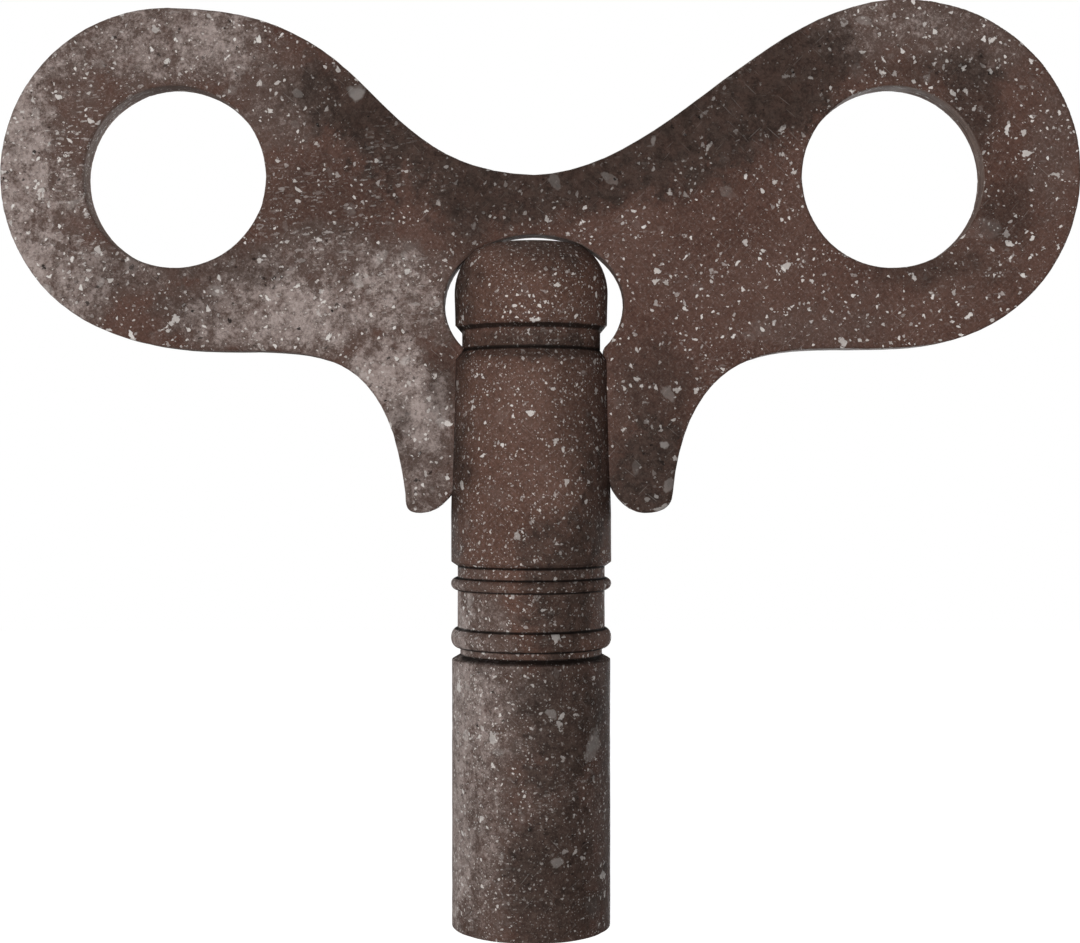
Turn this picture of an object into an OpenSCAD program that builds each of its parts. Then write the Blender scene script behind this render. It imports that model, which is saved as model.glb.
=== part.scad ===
// Winged winding key: a flat two-winged bow whose legs straddle a turned barrel with a square socket.
// The barrel axis is Z, its open mouth is at z = 0, and the bow stands in the XZ plane, facing -Y.

/* [Bow plate] */
// Thickness of the flat plate
plate_t = 1.8; // [1.2:0.1:2.4]
// Sideways offset of the bow from the barrel axis
bow_shift = 0.15; // [0:0.05:0.3]
// Height of the finger holes above the mouth
hole_z = 42.4; // [42:0.1:44]
// Distance of each finger hole from the bow's own centre line
hole_x = 20.3; // [19:0.1:22]
// Radius of the finger holes
hole_r = 5.15; // [3:0.05:6]
// Height of the dip between the wings
dip_z = 42.5; // [42:0.1:44]
// Half the gap between the legs
leg_gap = 3.95; // [3.5:0.05:4.1]
// Lowest point of the feet
foot_z = 23.4; // [22:0.1:24]

/* [Wings] */
// Reach of the right wing from the barrel axis
right_reach = 31.05; // [30.5:0.05:32]
// Height of the right wing's top
right_top = 52.4; // [52:0.05:53]
// Height of the underside of the right wing's round end
right_under = 32.85; // [32.5:0.05:33]
// Reach of the left wing from the barrel axis
left_reach = 30; // [29.5:0.05:31]
// Height of the left wing's top
left_top = 51.95; // [51.6:0.05:52.5]
// Height of the underside of the left wing's round end
left_under = 33.05; // [32.5:0.05:33.2]

/* [Oval opening] */
// Height of the opening's centre
oval_z = 35.2; // [35.1:0.1:35.4]
// Half its width
oval_rx = 5.1; // [4.9:0.05:5.6]
// Half its height
oval_rz = 3.95; // [3.85:0.05:4.3]

/* [Head knob] */
// Largest radius of the knob
knob_r = 4.36; // [4.1:0.02:4.6]
// Top of the knob
knob_top = 38.65; // [38:0.05:38.85]
// Radius of the neck under the knob
knob_neck_r = 3.93; // [3.6:0.01:3.95]

/* [Upper sleeve] */
// Radius of the straight stretch at the sleeve's lower end
sleeve_r = 4.55; // [4.4:0.05:4.8]
// Height where the straight stretch ends and the taper starts
taper_z = 23.2; // [21:0.1:28]
// Radius at the sleeve's upper end
sleeve_top_r = 4.34; // [4.2:0.02:4.5]
// Bottom of the sleeve
sleeve_z0 = 20.4; // [20:0.1:21]
// Top of the sleeve
sleeve_z1 = 32.6; // [32:0.1:32.8]

/* [Spindle and rings] */
// Radius of the band that carries the rings
band_r = 4.18; // [4.05:0.01:4.3]
// Radius of the rod through the upper sleeve
rod_r = 2.5; // [2:0.1:3]
// Bottom of the thin ring
thin_ring_z = 19.05; // [18.5:0.05:19.3]
// Height of the thin ring
thin_ring_h = 0.7; // [0.5:0.05:0.9]
// Bottom of the thick ring
thick_ring_z = 15.8; // [15.6:0.1:16.2]
// Height of the thick ring
thick_ring_h = 1.1; // [0.9:0.05:1.5]
// How far the rings stand out from the band
ring_out = 0.37; // [0.25:0.01:0.5]

/* [Socket barrel] */
// Outer radius of the barrel
barrel_r = 4.5; // [4.4:0.05:4.8]
// Length of the barrel
barrel_h = 15.35; // [14.5:0.05:15.5]
// Bore of the barrel
bore_r = 3.75; // [3.5:0.05:3.9]
// Side of the square socket
square_w = 4.6; // [4.2:0.1:4.7]
// Depth of the square socket
square_h = 10; // [8:0.5:11]

/* [Cross pins] */
// Radius of both pins
pin_r = 0.8; // [0.5:0.1:1]
// Height of the pin in the barrel
socket_pin_z = 12.8; // [12.5:0.1:13.2]
// Height of the pin behind the legs
sleeve_pin_z = 28.5; // [28:0.1:30]

/* [Hidden] */

$fn = 64;
over = 1;                          // how far a cutting solid runs past what it cuts
seat_gap = 0.2;                    // clearance at the bottom of a blind hole
neck_r = 4.03;                     // spindle neck above the barrel
spigot_z = square_h + seat_gap;    // lower end of the spindle
stub_r = 1.6;                      // spindle end inside the knob
stub_h = 3.6;
knob_z0 = sleeve_z1;               // the knob's neck stands on the sleeve
knob_widest = 35.8;                // height of the knob's largest radius
knob_side_r = knob_r - 0.04;       // radius at the foot of the knob's side
knob_flat_r = 2.2;                 // flat spot on the dome
neck_h = 1;                        // height of the knob's neck
under_h = 0.45;                    // height of the chamfer under the knob
shoulder_h = 0.55;                 // chamfer at the top of the sleeve
foot_chamfer = [0.34, 0.24];       // chamfer at the bottom of the sleeve, across and up
top_chamfer = [0.42, 0.24];        // chamfer at the top of the barrel, across and up
dip_slope = 2;                     // the dip is a very shallow V, in degrees
ankle_h = 1.1;                     // height of the foot's rounded outer side
heel_h = 2.8;                      // height of the foot's rounded inner side
mouth_r = 3.45;                    // countersink that leads into the square
mouth_h = 1.1;

rust_brown = [0.33, 0.26, 0.23];
grey_brown = [0.37, 0.33, 0.31];
bare_steel = [0.55, 0.54, 0.52];

function arc(cx, cz, r, a0, a1, n) =
    [for (i = [0:n]) let (a = a0 + (a1 - a0) * i / n) [cx + r * cos(a), cz + r * sin(a)]];

function bezier(a, b, c, d, n) =
    [for (i = [1:n - 1]) let (t = i / n, u = 1 - t)
        u * u * u * a + 3 * u * u * t * b + 3 * u * t * t * c + t * t * t * d];

// Quarter of an ellipse from [r0, z0], where it is upright, to [r1, z1], where it is level
function round_over(r0, z0, r1, z1, n) =
    [for (i = [0:n]) let (a = 90 * i / n) [r1 + (r0 - r1) * cos(a), z0 + (z1 - z0) * sin(a)]];

function polar(length, a) = length * [cos(a), sin(a)];

// One wing and leg, as if on the right, from the dip between the wings round to the oval.
// reach, top, under: how far the round end reaches, and the heights of its top and underside.
// crest: the angle where the round end starts, and how strongly the upper edge is drawn out level at
//   the dip and along the round end.
// throat: the angle where the round end stops, and how strongly the lower edge is drawn out along the
//   round end and up the leg.
// leg: where the leg meets the foot, its lean in degrees, and the foot's lowest point.
function wing(side, reach, top, under, crest, throat, leg) =
    let (
        r = (top - under) / 2,
        centre = [reach - r, under + r],
        dip = [bow_shift * side, dip_z],
        start = centre + polar(r, crest[0]),
        end = centre + polar(r, throat[0]),
        ankle = [leg[0], foot_z + ankle_h],
        toe = [leg[2], foot_z],
        heel = [leg_gap + bow_shift * side, foot_z + heel_h]
    )
    concat(
        [dip],
        bezier(dip, dip + polar(crest[1], dip_slope), start + polar(crest[2], crest[0] + 90), start, 24),
        arc(centre[0], centre[1], r, crest[0], throat[0], 32),
        bezier(end, end + polar(throat[1], throat[0] - 90), ankle + polar(throat[2], 90 - leg[1]),
               ankle, 28),
        [ankle],
        bezier(ankle, ankle - [0, 0.85], toe + [0.8, 0], toe, 6),
        [toe],
        bezier(toe, toe - [1.1, 0], heel + [0.25, -1.5], heel, 8),
        [heel]
    );

right_wing = wing(1, right_reach, right_top, right_under, [75, 8.5, 10], [-70, 7, 12], [8, 6, 6.4]);
left_wing = wing(-1, left_reach, left_top, left_under, [90, 10, 12.5], [-65, 9, 12.5], [7.1, 7, 6.2]);

// The oval from the right leg over the top to the left leg
oval_from = -acos(leg_gap / oval_rx);
oval_edge = [for (i = [0:40]) let (a = oval_from + (180 - 2 * oval_from) * i / 40)
    [bow_shift + oval_rx * cos(a), oval_z + oval_rz * sin(a)]];

bow_outline = concat(
    right_wing,
    oval_edge,
    [for (i = [len(left_wing) - 1:-1:1]) [-left_wing[i][0], left_wing[i][1]]]
);

module bow_blank() {
    translate([0, plate_t / 2, 0])
        rotate([90, 0, 0])
            linear_extrude(plate_t) polygon(bow_outline);
}

// A cylinder along X through the barrel axis, from x0 to x1
module cross_rod(r, x0, x1, z) {
    translate([x0, 0, z]) rotate([0, 90, 0]) cylinder(r = r, h = x1 - x0);
}

module half_round_ring(z, h) {
    side = [for (i = [0:16]) let (a = -90 + 180 * i / 16)
        [band_r + ring_out * cos(a), z + h / 2 + h / 2 * sin(a)]];
    difference() {
        rotate_extrude() polygon(concat([[band_r - over, z]], side, [[band_r - over, z + h]]));
        translate([0, 0, z - over]) cylinder(r = band_r, h = h + 2 * over);
    }
}

module bow_plate() {
    color(rust_brown)
        difference() {
            bow_blank();
            for (side = [-1, 1])
                translate([bow_shift + side * hole_x, plate_t / 2 + over, hole_z])
                    rotate([90, 0, 0]) cylinder(r = hole_r, h = plate_t + 2 * over);
        }
}

module head_knob() {
    knob_z = knob_z0 + neck_h;
    color(rust_brown)
        difference() {
            rotate_extrude()
                polygon(concat(
                    [[0, knob_z0], [knob_neck_r, knob_z0], [knob_neck_r, knob_z],
                     [knob_side_r, knob_z + under_h]],
                    round_over(knob_r, knob_widest, knob_flat_r, knob_top, 14),
                    [[0, knob_top]]));
            translate([0, 0, knob_z0 - over]) cylinder(r = stub_r, h = over + stub_h + seat_gap);
        }
}

module upper_sleeve() {
    color(rust_brown)
        difference() {
            rotate_extrude()
                polygon([[0, sleeve_z0], [sleeve_r - foot_chamfer[0], sleeve_z0],
                         [sleeve_r, sleeve_z0 + foot_chamfer[1]], [sleeve_r, taper_z],
                         [sleeve_top_r, sleeve_z1 - shoulder_h],
                         [knob_neck_r, sleeve_z1], [0, sleeve_z1]]);
            translate([0, 0, sleeve_z0 - over])
                cylinder(r = rod_r, h = sleeve_z1 - sleeve_z0 + 2 * over);
            cross_rod(pin_r, -2 * sleeve_r, 2 * sleeve_r, sleeve_pin_z);
            bow_blank();
        }
}

module spindle() {
    color(grey_brown)
        difference() {
            rotate_extrude()
                polygon([[0, spigot_z], [bore_r, spigot_z], [bore_r, barrel_h], [neck_r, barrel_h],
                         [neck_r, thick_ring_z], [band_r, thick_ring_z], [band_r, sleeve_z0],
                         [rod_r, sleeve_z0], [rod_r, sleeve_z1], [stub_r, sleeve_z1],
                         [stub_r, sleeve_z1 + stub_h], [0, sleeve_z1 + stub_h]]);
            cross_rod(pin_r, -2 * barrel_r, 2 * barrel_r, socket_pin_z);
            cross_rod(pin_r, -2 * barrel_r, 2 * barrel_r, sleeve_pin_z);
        }
}

module thin_ring() {
    color(rust_brown) half_round_ring(thin_ring_z, thin_ring_h);
}

module thick_ring() {
    color(rust_brown) half_round_ring(thick_ring_z, thick_ring_h);
}

module socket_barrel() {
    color(grey_brown)
        difference() {
            rotate_extrude()
                polygon([[0, 0], [barrel_r, 0], [barrel_r, barrel_h - top_chamfer[1]],
                         [barrel_r - top_chamfer[0], barrel_h], [0, barrel_h]]);
            translate([0, 0, -over]) cylinder(r = bore_r, h = barrel_h + 2 * over);
            cross_rod(pin_r, -2 * barrel_r, 2 * barrel_r, socket_pin_z);
        }
}

module square_bush() {
    color(bare_steel)
        difference() {
            cylinder(r = bore_r, h = square_h);
            translate([-square_w / 2, -square_w / 2, -over])
                cube([square_w, square_w, square_h + 2 * over]);
            rotate_extrude()
                polygon([[0, -over], [mouth_r + over, -over], [mouth_r, 0],
                         [square_w / 2, mouth_h], [0, mouth_h]]);
        }
}

module sleeve_pin() {
    color(bare_steel)
        cross_rod(pin_r, bow_shift - leg_gap, bow_shift + leg_gap, sleeve_pin_z);
}

module socket_pin() {
    color(bare_steel)
        intersection() {
            cross_rod(pin_r, -2 * barrel_r, 2 * barrel_r, socket_pin_z);
            cylinder(r = barrel_r, h = barrel_h);
        }
}

bow_plate();
head_knob();
upper_sleeve();
spindle();
thin_ring();
thick_ring();
socket_barrel();
square_bush();
sleeve_pin();
socket_pin();
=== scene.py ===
"""An old brown-painted winged winding key: a flat two-winged bow gripping a turned barrel."""
import math
from collections import namedtuple

import bmesh
import bpy
import numpy as np
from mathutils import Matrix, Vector, noise


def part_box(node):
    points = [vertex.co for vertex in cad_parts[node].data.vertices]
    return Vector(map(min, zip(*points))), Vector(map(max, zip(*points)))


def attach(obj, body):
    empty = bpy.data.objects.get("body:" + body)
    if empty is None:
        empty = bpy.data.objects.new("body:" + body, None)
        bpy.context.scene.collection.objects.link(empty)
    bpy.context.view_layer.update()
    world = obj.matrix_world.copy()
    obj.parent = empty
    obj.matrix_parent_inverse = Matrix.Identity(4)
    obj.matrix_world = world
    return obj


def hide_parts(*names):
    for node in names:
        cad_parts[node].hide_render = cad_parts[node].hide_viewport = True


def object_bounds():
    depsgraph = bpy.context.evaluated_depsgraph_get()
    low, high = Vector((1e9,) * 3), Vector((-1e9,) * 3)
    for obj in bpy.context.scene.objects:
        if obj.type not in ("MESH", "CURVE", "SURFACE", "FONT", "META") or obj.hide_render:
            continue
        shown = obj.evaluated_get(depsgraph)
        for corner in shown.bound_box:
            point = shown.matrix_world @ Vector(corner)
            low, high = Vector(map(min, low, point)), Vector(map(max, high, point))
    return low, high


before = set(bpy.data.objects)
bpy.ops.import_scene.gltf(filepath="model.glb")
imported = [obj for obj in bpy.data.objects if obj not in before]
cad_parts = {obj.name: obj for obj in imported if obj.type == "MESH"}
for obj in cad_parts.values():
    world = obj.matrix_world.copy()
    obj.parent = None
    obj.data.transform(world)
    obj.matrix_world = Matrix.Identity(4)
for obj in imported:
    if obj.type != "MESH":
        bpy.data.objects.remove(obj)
cad_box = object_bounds()

MM = 0.001
BODY = "root"


# ---------------------------------------------------------------- camera, lights and stage

CAMERA_PLACE = (0.50, -102.5, 25.75)    # mm, level with the middle of the key, square on to the bow
CAMERA_LENS, CAMERA_SENSOR = 60, 36     # mm
CAMERA_NEAR = 0.005                     # m, the nearest that it sees
FILL = 0.06                             # strength of the even light from all round
FLOOR_LEVEL, FLOOR_HALF = -0.25, 3.0    # m, well below the key
WHITE = (1, 1, 1, 1)

Lamp = namedtuple("Lamp", "name place width power")    # place and width in m, power in W
LAMPS = (
    Lamp("front", (-0.12, -0.61, -0.02), 0.22, 3.25),
    Lamp("back", (0.12, 0.61, -0.10), 0.30, 1.8),
    Lamp("left", (-0.46, 0.42, 0.08), 0.30, 1.5),
    Lamp("right", (0.46, 0.42, 0.08), 0.30, 1.5),
    Lamp("above", (0.0, 0.14, 0.62), 0.30, 1.1),
)


def add_object(name, data):
    made = bpy.data.objects.new(name, data)
    bpy.context.scene.collection.objects.link(made)
    return made


def make_camera():
    data = bpy.data.cameras.new("camera")
    data.lens = CAMERA_LENS
    data.sensor_width = CAMERA_SENSOR
    data.clip_start = CAMERA_NEAR
    camera = add_object("camera", data)
    camera.location = Vector(CAMERA_PLACE) * MM
    camera.rotation_euler = (math.radians(90), 0, 0)
    bpy.context.scene.camera = camera


def make_lamp(lamp, aim):
    """A round soft lamp that shines at aim and isn't seen itself."""
    data = bpy.data.lights.new(lamp.name, "AREA")
    data.shape = "DISK"
    data.size = lamp.width
    data.energy = lamp.power
    light = add_object(lamp.name, data)
    light.location = lamp.place
    light.rotation_euler = (Vector(aim) - Vector(lamp.place)).to_track_quat("-Z", "Y").to_euler()
    light.visible_camera = False


def make_world():
    """White to the eye, and a weak even fill to the key."""
    world = bpy.data.worlds.new("studio")
    bpy.context.scene.world = world
    world.use_nodes = True
    nodes, links = world.node_tree.nodes, world.node_tree.links
    nodes.clear()
    out = nodes.new("ShaderNodeOutputWorld")
    mix = nodes.new("ShaderNodeMixShader")
    path = nodes.new("ShaderNodeLightPath")
    fill = nodes.new("ShaderNodeBackground")
    seen = nodes.new("ShaderNodeBackground")
    fill.inputs["Strength"].default_value = FILL
    fill.inputs["Color"].default_value = WHITE
    seen.inputs["Color"].default_value = WHITE
    seen.inputs["Strength"].default_value = 1.0
    links.new(path.outputs["Is Camera Ray"], mix.inputs["Fac"])
    links.new(fill.outputs["Background"], mix.inputs[1])
    links.new(seen.outputs["Background"], mix.inputs[2])
    links.new(mix.outputs["Shader"], out.inputs["Surface"])


def make_floor():
    """A plain white floor that throws no light back at the key."""
    mesh = bpy.data.meshes.new("floor")
    signs = ((-1, -1), (1, -1), (1, 1), (-1, 1))
    mesh.from_pydata([(x * FLOOR_HALF, y * FLOOR_HALF, FLOOR_LEVEL) for x, y in signs], [], [(0, 1, 2, 3)])
    floor = add_object("floor", mesh)
    material = bpy.data.materials.new("floor_white")
    material.use_nodes = True
    shader = material.node_tree.nodes["Principled BSDF"]
    shader.inputs["Base Color"].default_value = (0.9, 0.9, 0.9, 1)
    shader.inputs["Roughness"].default_value = 1.0
    shader.inputs["Emission Color"].default_value = WHITE
    shader.inputs["Emission Strength"].default_value = 1.0
    mesh.materials.append(material)
    floor.visible_diffuse = False
    floor.visible_glossy = False


make_camera()
make_world()
make_floor()
for lamp in LAMPS:
    make_lamp(lamp, (cad_box[0] + cad_box[1]) / 2)
bpy.context.scene.view_settings.view_transform = "Standard"


# ---------------------------------------------------------------- ways to make shapes

SAME_PLACE = 0.002    # mm, vertices of a CAD mesh that are this close are one vertex
WELD = 0.004          # mm, the slivers that a cut leaves are merged up to this size
WAVES, RIPPLES, DENTS = 0.018, 0.006, 0.06    # mm, how far hand-finished metal strays from true
ON_AXIS = 1e-6        # mm, a smaller radius than this is none
LATHE_TURNS = 224     # segments round a turned piece
CORNER_STEPS = 4      # segments round a softened corner
SIDE_SHARE = 0.45     # the most of a side that one softened corner may take


def heights(node):
    """The lowest and highest point of a CAD node, in mm."""
    low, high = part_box(node)
    return low.z / MM, high.z / MM


def outer_radius(node):
    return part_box(node)[1].y / MM


def place(name, mesh, node, material):
    """Puts a finished mesh in the scene as the piece that stands for a CAD node."""
    piece = add_object(name, mesh)
    mesh.shade_smooth()
    mesh.materials.clear()
    mesh.materials.append(material)
    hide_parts(node)
    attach(piece, BODY)


def soften(points, radius, closed=False):
    """The profile with each corner rounded to about that radius, in mm."""
    made = []
    count = len(points)
    for i, corner in enumerate(points):
        if not closed and i in (0, count - 1):
            made.append(corner)
            continue
        before, after = np.array(points[i - 1]), np.array(points[(i + 1) % count])
        here = np.array(corner)
        a, b = before - here, after - here
        la, lb = np.linalg.norm(a), np.linalg.norm(b)
        bend = math.pi - math.acos(np.clip(a @ b / (la * lb), -1, 1))
        cut = min(radius * math.tan(bend / 2), SIDE_SHARE * la, SIDE_SHARE * lb)
        start, end = here + a / la * cut, here + b / lb * cut
        for k in range(CORNER_STEPS + 1):
            t = k / CORNER_STEPS
            made.append(tuple((1 - t) ** 2 * start + 2 * t * (1 - t) * here + t * t * end))
    return made


def spaced(points, step, closed=False):
    """The profile with no segment longer than step."""
    made = []
    last = len(points) if closed else len(points) - 1
    for i in range(last):
        a, b = np.array(points[i]), np.array(points[(i + 1) % len(points)])
        parts = max(1, math.ceil(np.linalg.norm(b - a) / step))
        made += [tuple(a + (b - a) * k / parts) for k in range(parts)]
    if not closed:
        made.append(tuple(points[-1]))
    return made


def bowed(centre, reach, angles):
    """Points on an elliptical arc about a centre (radius, height), at angles in degrees."""
    turns = [math.radians(a) for a in angles]
    return [(centre[0] + reach[0] * math.cos(t), centre[1] + reach[1] * math.sin(t)) for t in turns]


def lathe(name, profile, closed=False):
    """Turns a profile of (radius, height) in mm about Z. An open profile starts and ends on the axis."""
    angles = [2 * math.pi * k / LATHE_TURNS for k in range(LATHE_TURNS)]
    verts, rows = [], []
    for r, z in profile:
        if r < ON_AXIS:
            rows.append([len(verts)])
            verts.append((0, 0, z * MM))
        else:
            rows.append(list(range(len(verts), len(verts) + LATHE_TURNS)))
            verts += [(r * math.cos(a) * MM, r * math.sin(a) * MM, z * MM) for a in angles]
    faces = []
    pairs = list(zip(rows, rows[1:] + rows[:1])) if closed else list(zip(rows, rows[1:]))
    for low, high in pairs:
        for k in range(LATHE_TURNS):
            n = (k + 1) % LATHE_TURNS
            if len(low) == 1:
                faces.append((low[0], high[n], high[k]))
            elif len(high) == 1:
                faces.append((low[k], low[n], high[0]))
            else:
                faces.append((low[k], low[n], high[n], high[k]))
    mesh = bpy.data.meshes.new(name)
    mesh.from_pydata(verts, [], faces)
    bm = bmesh.new()
    bm.from_mesh(mesh)
    bmesh.ops.recalc_face_normals(bm, faces=bm.faces)
    bm.to_mesh(mesh)
    bm.free()
    return mesh


def unevenness(point, seed):
    """How far old hand-finished metal stands out at a point, in mm."""
    p = point / MM + Vector((seed * 17.0, seed * 5.0, 0))
    wave = noise.fractal(p * 0.22, 0.9, 2.0, 3)
    ripple = noise.noise(p * 1.1)
    dent = max(0.0, noise.noise(p * 0.7 + Vector((40, 0, 9))) - 0.42)
    return WAVES * wave + RIPPLES * ripple - DENTS * dent


def weather(mesh, seed, amount=1.0):
    """Gives a mesh the shallow waves and dents of old metal."""
    normals = [v.normal.copy() for v in mesh.vertices]
    for v, n in zip(mesh.vertices, normals):
        v.co += n * unevenness(v.co, seed) * amount * MM
    mesh.update()


def applied(piece):
    """A mesh with the piece's modifiers applied; the piece itself is removed."""
    graph = bpy.context.evaluated_depsgraph_get()
    mesh = bpy.data.meshes.new_from_object(piece.evaluated_get(graph))
    bpy.data.objects.remove(piece)
    return mesh


def loose_copy(node, name):
    """A welded copy of a CAD node's mesh, as an object of its own."""
    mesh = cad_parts[node].data.copy()
    bm = bmesh.new()
    bm.from_mesh(mesh)
    bmesh.ops.remove_doubles(bm, verts=bm.verts, dist=SAME_PLACE * MM)
    bm.to_mesh(mesh)
    bm.free()
    mesh.materials.clear()
    return add_object(name, mesh)


def round_arrises(piece, width, segments, crease):
    """Rounds the edges where a piece bends by more than crease degrees, by a modifier, width in mm."""
    bevel = piece.modifiers.new("arris", "BEVEL")
    bevel.width = width * MM
    bevel.segments = segments
    bevel.limit_method = "ANGLE"
    bevel.angle_limit = math.radians(crease)


def cut_by(mesh, name, node, longer=1.0):
    """The mesh with a CAD node's solid cut out of it. longer stretches the cutting solid along X, so
    that one with its ends flush with the surface cuts right out through it."""
    piece = add_object(name, mesh)
    tool = loose_copy(node, name + "_tool")
    tool.scale.x = longer
    boolean = piece.modifiers.new("cut", "BOOLEAN")
    boolean.operation = "DIFFERENCE"
    boolean.solver = "EXACT"
    boolean.object = tool
    bpy.context.view_layer.update()
    result = applied(piece)
    bpy.data.objects.remove(tool)
    bm = bmesh.new()
    bm.from_mesh(result)
    bmesh.ops.remove_doubles(bm, verts=bm.verts, dist=WELD * MM)
    bmesh.ops.dissolve_degenerate(bm, dist=WELD * MM, edges=bm.edges)
    bm.to_mesh(result)
    bm.free()
    return result


# ---------------------------------------------------------------- ways to make materials

class Shade:
    """A material under construction, with short ways to add and join nodes."""

    def __init__(self, name):
        self.material = bpy.data.materials.new(name)
        self.material.use_nodes = True
        self.tree = self.material.node_tree
        self.surface = self.tree.nodes["Principled BSDF"]
        coords = self.add("ShaderNodeTexCoord").outputs["Object"]
        self.at = self.vector("MULTIPLY", coords, (1 / MM,) * 3)

    def add(self, kind, **settings):
        node = self.tree.nodes.new(kind)
        for key, value in settings.items():
            setattr(node, key, value)
        return node

    def put(self, value, socket):
        if isinstance(value, bpy.types.NodeSocket):
            self.tree.links.new(value, socket)
        else:
            socket.default_value = value

    def calc(self, operation, a, b=0.0, c=0.0, clamp=False):
        node = self.add("ShaderNodeMath", operation=operation, use_clamp=clamp)
        for value, socket in zip((a, b, c), node.inputs):
            self.put(value, socket)
        return node.outputs[0]

    def times(self, a, b, clamp=False):
        return self.calc("MULTIPLY", a, b, clamp=clamp)

    def times_plus(self, a, b, c, clamp=False):
        """a times b, plus c"""
        return self.calc("MULTIPLY_ADD", a, b, c, clamp=clamp)

    def vector(self, operation, a, b=(0, 0, 0)):
        node = self.add("ShaderNodeVectorMath", operation=operation)
        self.put(a, node.inputs[0])
        self.put(b, node.inputs[1])
        return node.outputs["Value" if operation in ("LENGTH", "DISTANCE", "DOT_PRODUCT") else "Vector"]

    def axes(self, vector):
        """The X, Y and Z of a vector."""
        node = self.add("ShaderNodeSeparateXYZ")
        self.put(vector, node.inputs["Vector"])
        return node.outputs

    def ramp(self, value, low, high, to_low=0.0, to_high=1.0):
        """A smooth step from to_low to to_high, as value goes from low to high."""
        node = self.add("ShaderNodeMapRange", interpolation_type="SMOOTHSTEP")
        for v, key in ((value, "Value"), (low, "From Min"), (high, "From Max"),
                       (to_low, "To Min"), (to_high, "To Max")):
            self.put(v, node.inputs[key])
        return node.outputs["Result"]

    def noise(self, scale, detail, rough, shift, at=None):
        """Cloudy noise around 0.5. scale is how many clouds there are in a mm, and shift moves them."""
        node = self.add("ShaderNodeTexNoise", noise_dimensions="3D")
        self.put(self.vector("ADD", at or self.at, (shift, shift * 0.7, -shift)), node.inputs["Vector"])
        self.put(scale, node.inputs["Scale"])
        self.put(detail, node.inputs["Detail"])
        self.put(rough, node.inputs["Roughness"])
        return node.outputs["Fac"]

    def mix(self, share, a, b):
        node = self.add("ShaderNodeMix", data_type="RGBA")
        self.put(share, node.inputs["Factor"])
        sockets = {socket.identifier: socket for socket in node.inputs}
        self.put(a, sockets["A_Color"])
        self.put(b, sockets["B_Color"])
        return next(socket for socket in node.outputs if socket.identifier == "Result_Color")

    def turned(self, angle):
        """The place turned about Y, so that a grain can lie across the face."""
        node = self.add("ShaderNodeVectorRotate", rotation_type="Y_AXIS")
        self.put(self.at, node.inputs["Vector"])
        self.put(math.radians(angle), node.inputs["Angle"])
        return node.outputs["Vector"]

    def three_cornered(self, local, length, angular):
        """The distance from a fleck's middle: length as it is, blended into that of a tetrahedron. The
        larger sharpness is, the closer the tetrahedron's faces lie to its middle."""
        sharpness = 0.86
        sides = [self.vector("DOT_PRODUCT", local, [sharpness * k for k in side])
                 for side in ((1, 1, 1), (1, -1, -1), (-1, 1, -1), (-1, -1, 1))]
        facet = self.calc("MAXIMUM", self.calc("MAXIMUM", sides[0], sides[1]),
                          self.calc("MAXIMUM", sides[2], sides[3]))
        return self.times_plus(facet, angular, self.times(length, 1 - angular))

    def flecks(self, cell, radius, share, stretch=(1, 2.0, 1.4), spin=6.3, angular=0.6, ragged=0.3, edge=0.14,
               hollow=0.0, at=None, shift=0.0):
        """Scattered flecks: how much of one covers each point, and a random tone for each fleck.
        cell and radius are in mm, share is how many cells hold a fleck, stretch flattens the flecks
        and spin turns them at random by up to that many radians, angular goes from round to
        three-cornered, ragged is how torn the edge is and edge how soft, and hollow is how many of
        the ragged ones are only rings."""
        where = self.vector("ADD", at or self.at, (shift, -shift, shift * 0.3))
        where = self.vector("MULTIPLY", where, (1 / cell,) * 3)
        cells = self.add("ShaderNodeTexVoronoi", voronoi_dimensions="3D", feature="F1")
        self.put(where, cells.inputs["Vector"])
        self.put(1.0, cells.inputs["Scale"])
        away = self.vector("SUBTRACT", where, cells.outputs["Position"])
        spun = self.add("ShaderNodeVectorRotate", rotation_type="EULER_XYZ")
        self.put(away, spun.inputs["Vector"])
        self.put(self.vector("MULTIPLY", cells.outputs["Color"], (spin,) * 3), spun.inputs["Rotation"])
        local = self.vector("MULTIPLY", spun.outputs["Vector"], stretch)
        length = self.vector("LENGTH", local)
        if angular:
            length = self.three_cornered(local, length, angular)
        random = self.add("ShaderNodeSeparateColor")
        self.put(cells.outputs["Color"], random.inputs["Color"])
        for_size, for_presence, for_tone = random.outputs
        size = self.times_plus(for_size, radius / cell, 0.45 * radius / cell)
        if ragged:
            tear = self.ramp(self.noise(0.9 / radius, 3.0, 0.65, shift=shift + 3), 0.30, 0.70)
            size = self.times(size, self.times_plus(tear, 2 * ragged, 1 - ragged))
        cover = self.calc("DIVIDE", self.calc("SUBTRACT", size, length), edge * radius / cell, clamp=True)
        if hollow:
            depth = self.calc("DIVIDE", length, self.calc("MAXIMUM", size, 0.001))
            shell = self.ramp(self.times_plus(tear, 0.8, depth), 0.80, 1.05, 0.15, 1.0)
            ring = self.calc("LESS_THAN", for_tone, hollow)
            cover = self.times(cover, self.calc("MAXIMUM", shell, self.calc("SUBTRACT", 1.0, ring)))
        present = self.calc("LESS_THAN", for_presence, share)
        return self.times(cover, present), for_tone

    def finish(self, colour, relief, depth, roughness):
        """Joins the colour, the relief with its depth in mm, and the roughness to the surface."""
        bump = self.add("ShaderNodeBump")
        self.put(0.5, bump.inputs["Strength"])
        self.put(depth * MM, bump.inputs["Distance"])
        self.put(relief, bump.inputs["Height"])
        self.put(colour, self.surface.inputs["Base Color"])
        self.put(bump.outputs["Normal"], self.surface.inputs["Normal"])
        self.put(roughness, self.surface.inputs["Roughness"])


# ---------------------------------------------------------------- the old paint

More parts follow.
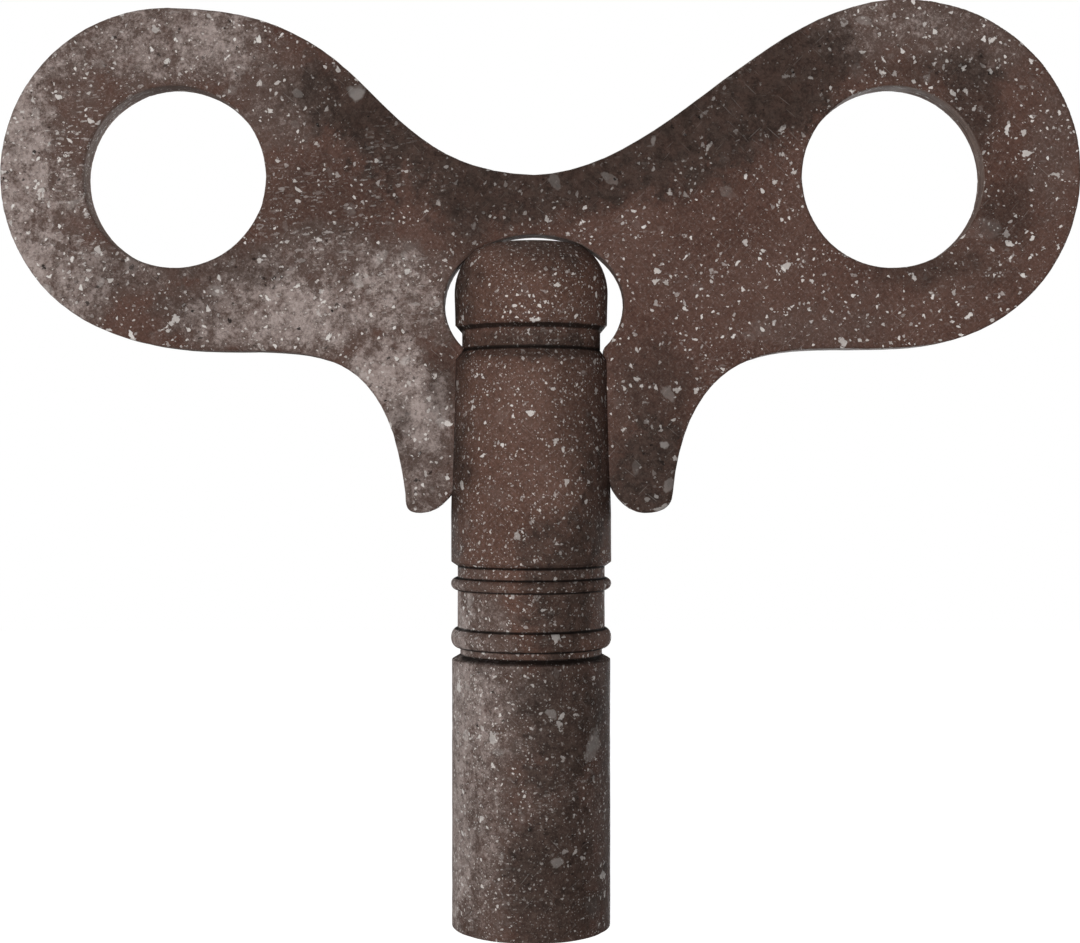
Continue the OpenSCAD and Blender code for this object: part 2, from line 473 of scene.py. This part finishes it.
# the haze colours also serve as a painted sheen, the worn colour partly as painted light on the walls, the
# soil colours also as painted shade, and the pit colour also as painted shade in the creases
PALE = (0.76, 0.715, 0.68, 1)
HAZE_AND_SHEEN = (0.430, 0.355, 0.328, 1)
DULL_HAZE_AND_SHEEN = (0.115, 0.085, 0.073, 1)
WORN_AND_LIT = (0.23, 0.165, 0.138, 1)
SOIL_AND_SHADE = (0.064, 0.044, 0.036, 1)
DEEP_SOIL_AND_SHADE = (0.024, 0.016, 0.013, 1)
PIT_AND_CREASE_SHADE = (0.008, 0.006, 0.005, 1)

# A place in the paint: its middle and half sizes in mm, and how much greyer, darker or more rubbed it is
Patch = namedtuple("Patch", "x z rx rz grey dark rubbed", defaults=(0.0, 0.0, 0.0))

# A line of painted shade in a crease: its height, half its width, and how far from the axis it reaches, in mm
ALL_THE_WAY = 9.0    # mm, further out than any turned piece
Groove = namedtuple("Groove", "z half reach", defaults=(ALL_THE_WAY,))

# How the pale chips are scattered, from dust to flakes: a cell's size and a chip's radius in mm, the
# share of cells that hold one, how strongly it shows, how ragged it is, and how many are only rings
Chips = namedtuple("Chips", "cell radius share strength ragged hollow")
CHIP_SIZES = (
    Chips(0.16, 0.054, 0.66, 0.70, 0.0, 0.0),
    Chips(0.30, 0.098, 0.50, 0.95, 0.2, 0.0),
    Chips(0.56, 0.165, 0.32, 1.00, 0.3, 0.10),
    Chips(1.05, 0.260, 0.22, 1.00, 0.4, 0.15),
    Chips(2.10, 0.390, 0.13, 1.00, 0.4, 0.25),
)


class OldPaint(Shade):
    """Chocolate-brown paint gone cloudy grey in places, with pale chips, dust, scratches and pits, and with
    painted shade and a painted sheen in places.
    seed shifts its patterns, so that no two paints are clouded or chipped alike."""

    def __init__(self, name, seed):
        super().__init__(name)
        self.seed = seed
        self.cloud = self.noise(0.16, 5.0, 0.62, shift=seed)
        self.mottle = self.noise(0.9, 6.0, 0.72, shift=seed + 11)
        self.grain = self.noise(5.5, 5.0, 0.85, shift=seed + 23)

    def lay(self, share, tone):
        """Covers the colour so far with a tone."""
        self.colour = self.mix(share, self.colour, tone)

    def find_places(self, haze, soil, patches):
        """Finds where the paint is clouded, soiled and rubbed, and where shade and sheen are painted into it.
        haze and soil are how much of it there is all over, and the patches, some of them painted shade or
        sheen, come on top."""
        flat = self.vector("MULTIPLY", self.at, (1, 0, 1))
        wander = self.times_plus(self.calc("SUBTRACT", self.mottle, 0.5), 1.5,
                                 self.times(self.calc("SUBTRACT", self.cloud, 0.5), 1.6))
        grey = self.times(self.ramp(self.cloud, 0.38, 0.70), haze)
        dark = self.times(self.ramp(self.noise(0.22, 4.0, 0.6, shift=self.seed + 31), 0.42, 0.70), soil)
        rubbed = self.times(self.ramp(self.noise(0.28, 3.0, 0.6, shift=self.seed + 57), 0.52, 0.68), 0.25)
        for p in patches:
            away = self.vector("SUBTRACT", flat, (p.x, 0, p.z))
            away = self.vector("LENGTH", self.vector("MULTIPLY", away, (1 / p.rx, 1, 1 / p.rz)))
            near = self.ramp(self.calc("ADD", away, wander), 1.25, 0.35)
            if p.grey:
                grey = self.times_plus(near, p.grey, grey)
            if p.dark:
                dark = self.times_plus(near, p.dark, dark)
            if p.rubbed:
                rubbed = self.times_plus(near, p.rubbed, rubbed)
        self.grey, self.dark, self.rubbed = grey, dark, rubbed
        # zone is how clouded or soiled it is, painted sheen and shade counted in, and the line below gives
        # how free it is of soil and painted shade
        self.zone = self.times_plus(dark, 0.7, grey, clamp=True)
        self.clear_of_soil_and_shade = self.times_plus(dark, -0.55, 1.0, clamp=True)

    def lay_brown(self, brown):
        """The brown itself, with slow changes, a fine grain and a faint hatch of old scratches."""
        strokes = [self.noise(1.0, 3.0, 0.7, at=self.vector("MULTIPLY", self.turned(angle), (11, 4, 1.2)),
                              shift=shift)
                   for angle, shift in ((45, 5), (-45, 9))]
        hatch = self.calc("ADD", *strokes)
        tooth = self.times_plus(self.calc("SUBTRACT", hatch, 1.0), 0.40, self.times(self.grain, 0.8))
        tooth = self.times_plus(self.calc("SUBTRACT", self.cloud, 0.5), 0.5, tooth)
        light = tuple(1.25 * c for c in brown[:3]) + (1,)
        shade = tuple(0.58 * c for c in brown[:3]) + (1,)
        self.colour = self.mix(self.ramp(tooth, 0.16, 0.64), shade, light)

    def lay_clouds(self):
        """The grey haze, with the painted sheen, and the dark soil, with the painted shade, each thin and
        thick in turns, and a fine grey powder.
        """
        patchy = self.noise(1.3, 5.0, 0.70, shift=self.seed + 37)
        film = self.times_plus(self.noise(2.0, 6.0, 0.80, shift=self.seed + 43), 0.7,
                               self.times(self.grain, 0.3))
        deep = self.times(self.calc("MINIMUM", self.grey, 1.3), 0.14)
        thick = self.ramp(self.calc("ADD", film, deep), 0.53, 0.75)
        grey = self.calc("DIVIDE", self.grey, self.calc("ADD", self.grey, 0.22))
        grey = self.times(grey, self.ramp(patchy, 0.28, 0.60, 0.62, 1.22))
        grey = self.times(grey, self.ramp(self.grain, 0.30, 0.68, 0.65, 1.05), clamp=True)
        self.lay(grey, self.mix(thick, DULL_HAZE_AND_SHEEN, HAZE_AND_SHEEN))
        thick_soil_and_shade = self.ramp(patchy, 0.64, 0.36, 0.70, 0.95)
        self.dark = self.times(self.calc("MINIMUM", self.dark, 1.0), thick_soil_and_shade)
        self.lay(self.dark, self.mix(self.ramp(film, 0.38, 0.62), DEEP_SOIL_AND_SHADE, SOIL_AND_SHADE))
        powder = self.ramp(self.noise(6.5, 4.0, 0.85, shift=self.seed + 39), 0.50, 0.72, 0.0, 0.30)
        self.lay(self.times(powder, self.clear_of_soil_and_shade), HAZE_AND_SHEEN)

    def rub_and_light_walls(self, amount):
        """The narrow walls that lie square to the faces are painted paler in streaks along them: partly
        rubbed wear, partly painted light where the lamps barely reach them.
        """
        normal = self.add("ShaderNodeTexCoord").outputs["Normal"]
        square = self.ramp(self.calc("ABSOLUTE", self.axes(normal)["Y"]), 0.75, 0.35)
        along = self.vector("MULTIPLY", self.at, (0.35, 6.0, 0.35))
        streak = self.noise(1.0, 4.0, 0.7, at=along, shift=self.seed + 151)
        self.lay(self.times(square, self.ramp(streak, 0.36, 0.60, 0.15, amount)), WORN_AND_LIT)

    def lay_blotches(self):
        """Rounded translucent blotches, most of them in the clouded places."""
        for cell, radius, shift in ((3.2, 1.00, 41), (1.6, 0.45, 45)):
            blotch, tone = self.flecks(cell, radius, 0.5, (1, 1.9, 1.4), angular=0.3, ragged=0.2, edge=0.25,
                                       shift=self.seed + shift)
            self.lay(self.times(self.times(blotch, tone), self.times_plus(self.zone, 0.22, 0.03)), PALE)

    def lay_stains(self):
        """Dark stains in the soiled places, and where shade is painted."""
        for cell, radius, shift in ((1.3, 0.42, 47), (0.6, 0.19, 49)):
            stain, tone = self.flecks(cell, radius, 0.55, (1, 1.5, 1.2), angular=0.0, ragged=0.6, edge=0.9,
                                      shift=self.seed + shift)
            self.lay(self.times(self.times(stain, tone), self.times(self.dark, 0.9)), DEEP_SOIL_AND_SHADE)

    def lay_dashes(self):
        """Short level dashes where it is rubbed."""
        for cell, shift in ((0.50, 51), (0.30, 53)):
            dash, tone = self.flecks(cell, 0.52 * cell, 0.85, (1, 2.2, 4.2), spin=0.35, angular=0.3,
                                     ragged=0.5, edge=0.3, shift=self.seed + shift)
            tone = self.times(self.times_plus(tone, 0.45, 0.08), self.rubbed)
            self.lay(self.times(dash, tone, clamp=True), PALE)

    def lay_scratches(self):
        """A few single scratches, in two directions."""
        for angle, shift in ((42, 61), (-48, 67)):
            scratch, tone = self.flecks(0.9, 0.42, 0.5, (1, 0.6, 26), spin=0.35, angular=0, ragged=0,
                                        edge=0.6, at=self.turned(angle), shift=self.seed + shift)
            self.lay(self.times(scratch, self.times(tone, 0.13)), PALE)

    def lay_pits(self):
        """Small dark pits, most of them in the clouded places."""
        pit, tone = self.flecks(0.50, 0.115, 0.40, (1, 2.0, 1.3), ragged=0.5, shift=self.seed + 131)
        pit = self.times(pit, self.times_plus(self.zone, 0.85, 0.05), clamp=True)
        self.lay(self.times(pit, tone), PIT_AND_CREASE_SHADE)
        self.relief = self.times_plus(pit, -1.2, self.times(self.grain, 0.3))

    def lay_chips(self, many, speckle):
        """Pale chips, from dust to large flakes, thicker in some places than in others. many is how
        many there are, and speckle how much dust there is outside the clouded places."""
        busy = self.ramp(self.noise(0.5, 4.0, 0.65, shift=self.seed + 141), 0.34, 0.62, 0.50, 1.20)
        dusty = self.calc("MAXIMUM", busy, self.times_plus(self.zone, 0.8, speckle))
        flaking = self.times(busy, self.calc("ADD", self.zone, 0.55))
        # how close together the chips of each size lie, and the larger ones are also paler
        crowding = (dusty, dusty, busy, flaking, flaking)
        for k, (size, crowd) in enumerate(zip(CHIP_SIZES, crowding)):
            chip, tone = self.flecks(size.cell, size.radius, self.times(crowd, size.share * many),
                                     ragged=size.ragged, hollow=size.hollow, shift=self.seed + 71 + 9 * k)
            tone = self.times_plus(self.calc("POWER", tone, 1.3), 1.10, 0.14 + 0.07 * k, clamp=True)
            amount = self.times(chip, self.times(self.times(tone, self.clear_of_soil_and_shade), size.strength))
            self.lay(self.times(amount, self.ramp(self.grain, 0.28, 0.60, 0.78, 1.0)), PALE)
            if k > 0:
                self.relief = self.times_plus(chip, 0.4, self.relief)

    def lay_crease_shade(self, grooves):
        """Dark lines of painted shade round the key, at the heights of its grooves."""
        axes = self.axes(self.at)
        for g in grooves:
            away = self.calc("ABSOLUTE", self.calc("SUBTRACT", axes["Z"], g.z))
            away = self.times_plus(self.calc("SUBTRACT", self.mottle, 0.5), 0.6 * g.half, away)
            inner = self.ramp(self.calc("ABSOLUTE", axes["X"]), g.reach, g.reach - 0.4, 0.0, 0.85)
            self.lay(self.times(self.ramp(away, g.half, 0.4 * g.half), inner), PIT_AND_CREASE_SHADE)


def old_paint(name, seed, brown, haze, soil, chips, patches, grooves=(), speckle=0.0, walls=0.0):
    """The old paint, laid from the brown outwards. walls is how strongly a plate's walls are streaked paler,
    partly as wear, partly as painted light.
    """
    paint = OldPaint(name, seed)
    paint.find_places(haze, soil, patches)
    paint.lay_brown(brown)
    paint.lay_clouds()
    # paler streaks on the walls, partly wear, partly painted light
    if walls:
        paint.rub_and_light_walls(walls)
    paint.lay_blotches()
    paint.lay_stains()
    paint.lay_dashes()
    paint.lay_scratches()
    paint.lay_pits()
    paint.lay_chips(chips, speckle)
    # painted shade in the creases
    paint.lay_crease_shade(grooves)
    paint.finish(paint.colour, paint.relief, 0.03, paint.ramp(paint.mottle, 0.3, 0.7, 0.62, 0.85))
    paint.surface.inputs["Specular IOR Level"].default_value = 0.06
    return paint.material


BROWN = (0.106, 0.055, 0.042, 1)
TURNED_BROWN = (0.128, 0.068, 0.051, 1)
BARREL_TOP = heights("socket_barrel")[1]
SLEEVE_FOOT, SLEEVE_TOP = heights("upper_sleeve")
KNOB_CREASE = SLEEVE_TOP + 1.2    # mm, the corner between the knob and its neck


def bow_paint():
    return old_paint("bow_paint", 3, BROWN, haze=0.04, soil=0.05, chips=0.72, walls=0.95, patches=[
        # the left wing, its outer end and its underside
        Patch(-29.8, 44.0, 3.4, 9.0, grey=1.25),
        Patch(-26.6, 48.6, 3.2, 3.2, grey=0.45),
        Patch(-26.2, 41.2, 2.0, 2.6, grey=0.55),
        Patch(-24.6, 43.5, 3.4, 6.0, grey=0.12, rubbed=1.2),
        Patch(-27.0, 36.2, 3.6, 3.0, grey=0.90, rubbed=0.2),
        Patch(-23.0, 37.0, 3.6, 1.6, grey=0.45, dark=0.30),
        Patch(-19.4, 35.0, 2.4, 1.3, grey=0.25, dark=0.40),
        Patch(-16.4, 37.2, 3.4, 1.1, grey=0.30, dark=0.40),
        Patch(-15.6, 34.6, 4.6, 2.1, grey=0.95),
        Patch(-11.2, 34.4, 3.6, 2.6, grey=1.00, rubbed=0.2),
        Patch(-12.2, 38.2, 3.4, 1.6, grey=0.50, rubbed=0.4),
        # the left leg and beside the oval
        Patch(-7.0, 35.6, 2.8, 3.4, grey=0.85, rubbed=0.5),
        # painted sheen: a pale glow on the left leg's outer edge
        Patch(-8.4, 31.4, 2.4, 2.6, grey=1.60),
        Patch(-6.2, 29.4, 1.9, 2.2, grey=1.40),
        # painted shade: darker beside the sleeve and round the oval's left rim
        Patch(-5.0, 31.0, 1.0, 2.4, dark=0.60),
        Patch(-3.8, 39.6, 2.0, 2.2, dark=0.85),
        Patch(-7.6, 28.6, 0.8, 1.6, dark=0.50),
        Patch(-6.3, 25.6, 2.6, 3.0, grey=0.65, dark=0.25),
        # the left wing's top, and from its hole in to the bridge
        Patch(-21.0, 49.8, 4.8, 2.8, grey=0.80),
        Patch(-17.4, 49.8, 2.4, 2.6, grey=0.45),
        Patch(-14.2, 46.6, 2.6, 3.0, grey=0.40, dark=0.10),
        # painted shade: darker in towards the bridge
        Patch(-11.0, 47.2, 3.0, 2.6, dark=1.00),
        Patch(-7.5, 45.0, 3.8, 2.5, dark=1.20),
        Patch(-13.0, 41.2, 6.0, 3.0, dark=0.35, rubbed=0.45),
        # the bridge, and up the right wing's slope, darker with painted shade
        Patch(-1.0, 42.4, 8.0, 2.8, dark=1.20),
        Patch(6.0, 43.8, 5.5, 3.0, dark=1.15),
        Patch(10.5, 46.2, 5.2, 3.4, dark=1.30),
        Patch(14.6, 48.6, 3.8, 3.6, dark=1.30),
        # the right wing, its top, its outer end and its underside
        Patch(19.4, 51.0, 4.2, 2.4, grey=0.45),
        Patch(25.0, 50.2, 4.0, 2.6, grey=0.30),
        Patch(21.0, 48.4, 6.0, 1.0, dark=0.50),
        Patch(25.0, 46.5, 2.2, 3.0, dark=0.85),
        Patch(26.8, 40.2, 2.0, 2.2, dark=0.60),
        Patch(23.0, 37.4, 4.5, 1.8, dark=0.75),
        Patch(29.5, 44.0, 1.6, 4.0, grey=0.12),
        Patch(16.0, 34.0, 5.0, 1.4, grey=0.10),
        # the right leg, darker with painted shade
        Patch(6.6, 30.0, 2.8, 3.0, dark=0.65),
        Patch(6.4, 25.0, 2.6, 3.6, dark=1.20),
    ])


def turned_paint():
    """The paint of the sleeve, the knob, the rings and the spindle."""
    # painted shade: dark lines in the creases at the sleeve's foot, at the edges of both rings, at the
    # barrel's top, at the sleeve's top and at the knob's crease
    grooves = [Groove(SLEEVE_FOOT, 0.11)]
    for node, half in (("thin_ring", 0.08), ("thick_ring", 0.10)):
        grooves += [Groove(z, half) for z in reversed(heights(node))]
    grooves += [Groove(BARREL_TOP, 0.12), Groove(SLEEVE_TOP, 0.16), Groove(KNOB_CREASE, 0.18)]
    return old_paint("turned_paint", 203, TURNED_BROWN, haze=0.04, soil=0.06, chips=1.40, speckle=0.25,
                     grooves=grooves, patches=[
        # the rings and bands, on the left
        Patch(-4.6, 17.4, 1.3, 4.0, grey=1.20),
        Patch(-3.2, 17.4, 2.2, 3.2, grey=0.45),
        # the sleeve and the knob, on the left: painted shade towards their left edges
        Patch(-5.0, 26.5, 1.9, 8.0, dark=0.95),
        Patch(-4.9, 36.4, 2.3, 3.6, dark=1.00),
        # the sleeve's shoulder and the knob's top: painted shade on the faces that look up
        Patch(0.6, 32.8, 3.8, 1.0, dark=0.75),
        Patch(0.3, 38.6, 3.8, 1.5, dark=0.80),
        # the rings and the sleeve, on the right
        Patch(2.0, 19.0, 2.6, 5.5, dark=1.10),
        Patch(3.4, 24.0, 1.8, 5.0, dark=0.70),
        Patch(2.8, 29.5, 2.4, 6.0, dark=0.35),
    ])


def barrel_paint():
    # painted shade where the neck meets the barrel's top edge, fading out towards the sides
    top_edge_shade = Groove(BARREL_TOP + 0.02, 0.26, 4.1)
    return old_paint("barrel_paint", 403, BROWN, haze=0.20, soil=0.40, chips=0.9, speckle=1.0,
                     grooves=[top_edge_shade], patches=[
        # the left side, all the way up
        Patch(-5.0, 7.0, 1.5, 11.0, grey=2.60),
        Patch(-3.2, 7.0, 2.2, 10.0, grey=0.75),
        # the front, from its top down
        Patch(-1.4, 12.4, 2.6, 3.0, grey=0.35),
        Patch(1.8, 12.0, 2.6, 4.5, grey=0.05, dark=0.85),
        Patch(1.0, 4.0, 3.0, 7.0, grey=0.05, dark=1.10),
        # the right side
        Patch(4.9, 8.0, 1.8, 10.0, grey=0.10, dark=0.15),
    ])


def worn_steel():
    """Bare steel gone brown, with darker stains."""
    steel = Shade("worn_steel")
    stain = steel.noise(0.8, 5.0, 0.65, shift=7)
    fine = steel.noise(7.0, 3.0, 0.6, shift=19)
    colour = steel.mix(steel.ramp(stain, 0.35, 0.65), (0.16, 0.13, 0.115, 1), (0.055, 0.036, 0.028, 1))
    colour = steel.mix(steel.ramp(fine, 0.55, 0.75, 0.0, 0.5), colour, (0.25, 0.22, 0.20, 1))
    steel.finish(colour, fine, 0.02, steel.ramp(stain, 0.3, 0.7, 0.45, 0.75))
    steel.surface.inputs["Metallic"].default_value = 0.7
    return steel.material


# ---------------------------------------------------------------- the pieces

# Everything here is in mm. The radii are the CAD model's, where a piece is narrower than its box.
BOW_ARRIS, PIN_ARRIS = 0.16, 0.06
BOW_VOXEL = 0.15
PROFILE_STEP, RING_STEP, SPINDLE_STEP = 0.16, 0.12, 0.2
ROD_R, STUB_R, NECK_R, BAND_R = 2.5, 1.6, 4.03, 4.18
KNOB_NECK_R, SLEEVE_TOP_R = 3.93, 4.34
BORE_R = outer_radius("square_bush")


def make_bow():
    """The plate with its arrises worn soft and its faces a little uneven. An even fine mesh is laid
    onto the rounded form, so that the unevenness has vertices to move."""
    rounded = loose_copy("bow_plate", "bow_rounded")
    round_arrises(rounded, BOW_ARRIS, segments=3, crease=40)
    form = add_object("bow_form", applied(rounded))
    bow = add_object("bow_work", form.data.copy())
    remesh = bow.modifiers.new("grain", "REMESH")
    remesh.mode = "VOXEL"
    remesh.voxel_size = BOW_VOXEL * MM
    smooth = bow.modifiers.new("even", "SMOOTH")
    smooth.factor = 0.5
    smooth.iterations = 4
    onto = bow.modifiers.new("onto", "SHRINKWRAP")
    onto.wrap_method = "NEAREST_SURFACEPOINT"
    onto.target = form
    mesh = applied(bow)
    bpy.data.objects.remove(form)
    weather(mesh, seed=1, amount=1.4)
    return mesh


def make_barrel():
    """A plain tube with a chamfered top edge and the pin's hole through it."""
    low, high = heights("socket_barrel")
    r = outer_radius("socket_barrel")
    across, down = 0.42, 0.24
    profile = soften([(BORE_R, low), (r, low), (r, high - down), (r - across, high), (BORE_R, high)], 0.06,
                     closed=True)
    mesh = lathe("barrel", spaced(profile, PROFILE_STEP, closed=True), closed=True)
    weather(mesh, seed=2)
    return cut_by(mesh, "barrel_work", "socket_pin", longer=1.2)


def make_sleeve():
    """A sleeve with a chamfered foot, a slight taper and a sloping shoulder, grooved for the bow's legs."""
    low, high = heights("upper_sleeve")
    r = outer_radius("upper_sleeve")
    across, up, shoulder, straight = 0.34, 0.24, 0.55, 2.8
    profile = soften([(ROD_R, low), (r - across, low), (r, low + up), (r, low + straight),
                      (SLEEVE_TOP_R, high - shoulder), (KNOB_NECK_R, high), (ROD_R, high)], 0.07, closed=True)
    mesh = lathe("sleeve", spaced(profile, PROFILE_STEP, closed=True), closed=True)
    weather(mesh, seed=3)
    return cut_by(mesh, "sleeve_work", "bow_plate")


def make_knob():
    """A dome with a flat top, on a short neck with a blind hole up into it."""
    low, high = heights("head_knob")
    r = outer_radius("head_knob")
    neck_h, under_h, hole_h, flat_r, flare = 1.0, 0.45, 3.8, 2.2, 0.04
    widest = low + 3.2
    dome = bowed((flat_r, widest), (r - flat_r, high - widest), range(0, 91, 6))
    profile = soften([(0, low + hole_h), (STUB_R, low + hole_h), (STUB_R, low), (KNOB_NECK_R, low),
                      (KNOB_NECK_R, low + neck_h), (r - flare, low + neck_h + under_h)], 0.07)
    mesh = lathe("knob", spaced(profile + dome + [(0, high)], PROFILE_STEP))
    weather(mesh, seed=4)
    return mesh


def make_ring(node):
    """A half-round bead that sits a little into the spindle's band."""
    low, high = heights(node)
    half = (high - low) / 2
    seat = BAND_R - 0.02
    side = bowed((BAND_R, low + half), (outer_radius(node) - BAND_R, half), range(-90, 91, 9))
    profile = spaced([(seat, low)] + side + [(seat, high)], RING_STEP, closed=True)
    mesh = lathe(node + "_bead", profile, closed=True)
    weather(mesh, seed=5)
    return mesh


def make_spindle():
    """The core that all else sits on: a spigot in the barrel, a neck, the band, the rod and the stub."""
    low, high = heights("spindle")
    ring_foot = heights("thick_ring")[0]
    profile = soften([(0, low), (BORE_R, low), (BORE_R, BARREL_TOP),
                      (NECK_R, BARREL_TOP), (NECK_R, ring_foot), (BAND_R, ring_foot), (BAND_R, SLEEVE_FOOT),
                      (ROD_R, SLEEVE_FOOT), (ROD_R, SLEEVE_TOP), (STUB_R, SLEEVE_TOP), (STUB_R, high),
                      (0, high)], 0.05)
    mesh = lathe("spindle_rod", spaced(profile, SPINDLE_STEP))
    weather(mesh, seed=6, amount=0.5)
    return mesh


def finish_in_place(node, material):
    """Rounds the edges of a CAD node that is shown as it is, and gives it a material."""
    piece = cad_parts[node]
    piece.data.materials.clear()
    piece.data.materials.append(material)
    round_arrises(piece, PIN_ARRIS, segments=2, crease=30)


plate, turned, tube, steel = bow_paint(), turned_paint(), barrel_paint(), worn_steel()
place("bow", make_bow(), "bow_plate", plate)
place("barrel", make_barrel(), "socket_barrel", tube)
place("sleeve", make_sleeve(), "upper_sleeve", turned)
place("knob", make_knob(), "head_knob", turned)
for ring in ("thin_ring", "thick_ring"):
    place(ring + "_bead", make_ring(ring), ring, turned)
place("spindle_rod", make_spindle(), "spindle", turned)
for node in ("square_bush", "sleeve_pin", "socket_pin"):
    finish_in_place(node, steel)
